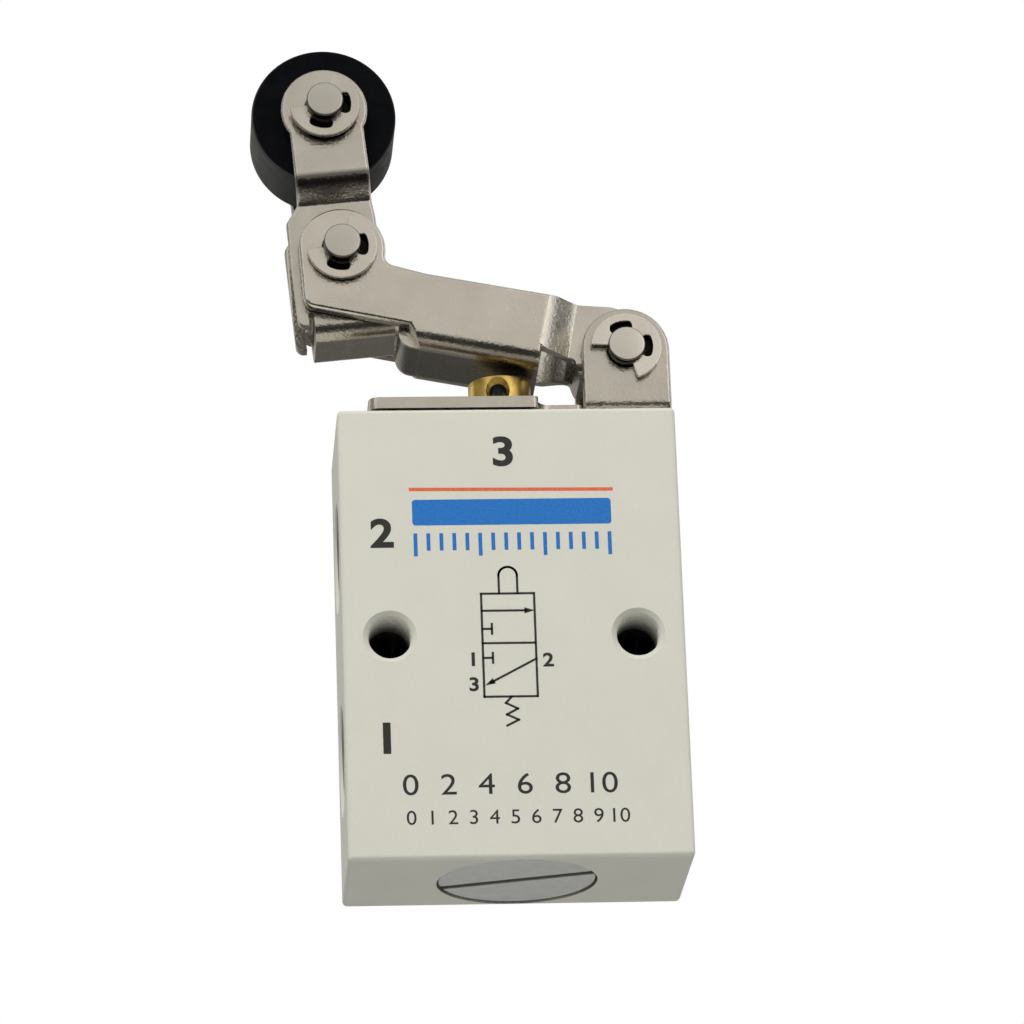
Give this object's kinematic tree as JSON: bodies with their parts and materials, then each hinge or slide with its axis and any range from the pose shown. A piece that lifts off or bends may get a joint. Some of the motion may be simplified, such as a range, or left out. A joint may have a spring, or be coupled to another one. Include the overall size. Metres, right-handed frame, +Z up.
{
  "type": "mechanical air valve",
  "caption": "Limit valve for compressed air: a block body with ports on one side, and a one-way roller lever that presses a spring-returned stem.",
  "frame": {"origin": "on the flat back face of the body, half way between the two mounting holes", "axes": "+X to the right of someone facing the printed front, away from the ports; +Y to the back, out of the mounting face; +Z up, towards the roller"},
  "size_m": [0.0493, 0.02, 0.104],
  "materials": {
    "body_paint": "satin",
    "nickel_plate": "satin",
    "bright_steel": "satin",
    "brass": "satin",
    "plain_aluminium": "satin",
    "roller_plastic": "satin",
    "seal_rubber": "matte"
  },
  "bodies": {
    "housing": {"valve_body": "body_paint", "mounting_bracket": "nickel_plate", "bracket_screw_left": "bright_steel", "bracket_screw_right": "bright_steel", "bottom_plug": "plain_aluminium", "plug_o_ring": "seal_rubber", "seat_ring": "brass", "seat_o_ring": "seal_rubber", "spacer_sleeve": "plain_aluminium", "stem_o_ring": "seal_rubber", "lever_pin": "nickel_plate", "lever_pin_clip": "nickel_plate", "stem_spring": "bright_steel", "poppet_spring": "bright_steel"},
    "lever": {"main_lever": "nickel_plate", "arm_pin": "nickel_plate", "arm_pin_clip": "nickel_plate", "torsion_spring": "bright_steel"},
    "arm": {"roller_arm": "nickel_plate", "roller_axle": "nickel_plate", "axle_clip": "nickel_plate", "roller_washer_front": "bright_steel", "roller_washer_rear": "bright_steel"},
    "roller": {"roller": "roller_plastic", "roller_bush": "bright_steel"},
    "stem": {"valve_stem": "brass"},
    "poppet": {"poppet": "plain_aluminium", "poppet_seal": "seal_rubber"}
  },
  "joints": [
    {"name": "lever_press", "type": "hinge", "parent": "housing", "child": "lever", "pos_m": [0.01485, -0.01, 0.03695], "axis": [0, -1, 0], "range_deg": [0, 8.5], "stiffness_Nm_per_rad": 0.66, "springref_deg": -15.47},
    {"name": "stem_slide", "type": "slide", "parent": "housing", "child": "stem", "axis": [0, 0, -1], "range_m": [0, 0.0023], "deforming": ["stem_spring"]},
    {"name": "poppet_slide", "type": "slide", "parent": "housing", "child": "poppet", "axis": [0, 0, -1], "range_m": [0, 0.0014], "deforming": ["poppet_spring"]},
    {"name": "arm_fold", "type": "hinge", "parent": "lever", "child": "arm", "pos_m": [-0.01879, -0.01, 0.05004], "axis": [0, 1, 0], "range_deg": [0, 70], "stiffness_Nm_per_rad": 0.02, "springref_deg": -57.3, "deforming": ["torsion_spring"]},
    {"name": "roller_spin", "type": "hinge", "parent": "arm", "child": "roller", "pos_m": [-0.02048, -0.01, 0.06821], "axis": [0, 1, 0], "continuous": true}
  ],
  "couplings": [
    {"joint": "stem_slide", "follows": "lever_press", "m_per_rad": 0.01485},
    {"joint": "poppet_slide", "follows": "lever_press", "m_per_rad": 0.00876}
  ]
}
